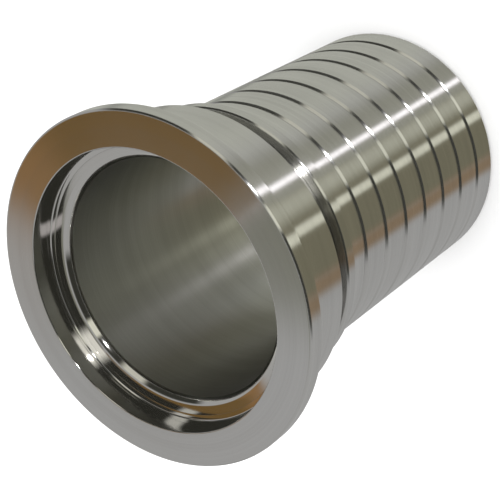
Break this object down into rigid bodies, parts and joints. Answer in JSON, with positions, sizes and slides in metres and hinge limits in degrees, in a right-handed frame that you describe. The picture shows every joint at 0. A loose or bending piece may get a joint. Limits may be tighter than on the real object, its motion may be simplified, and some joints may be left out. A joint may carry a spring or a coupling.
{
  "type": "hygienic clamp hose stem",
  "caption": "Stainless hose stem with a recessed-face clamp ferrule, a lock groove and collar for a crimped sleeve, and a grooved tube that a hose slides over.",
  "frame": {"origin": "centre of the hose end, on the plane that the part stands on", "axes": "+Z along the bore axis from the hose end to the sealing face; X and Y are any two directions across it, because the part is round"},
  "size_m": [0.064, 0.064, 0.0796],
  "materials": {
    "ferrule_steel": "bright turned stainless, fine concentric tool marks, polished recess",
    "stem_steel": "satin turned stainless, fine circumferential tool marks, smooth bore",
    "collar_steel": "satin turned stainless, fine circumferential tool marks"
  },
  "bodies": {
    "root": {"clamp_ferrule": "ferrule_steel", "hose_stem": "stem_steel", "lock_collar": "collar_steel"}
  },
  "joints": []
}
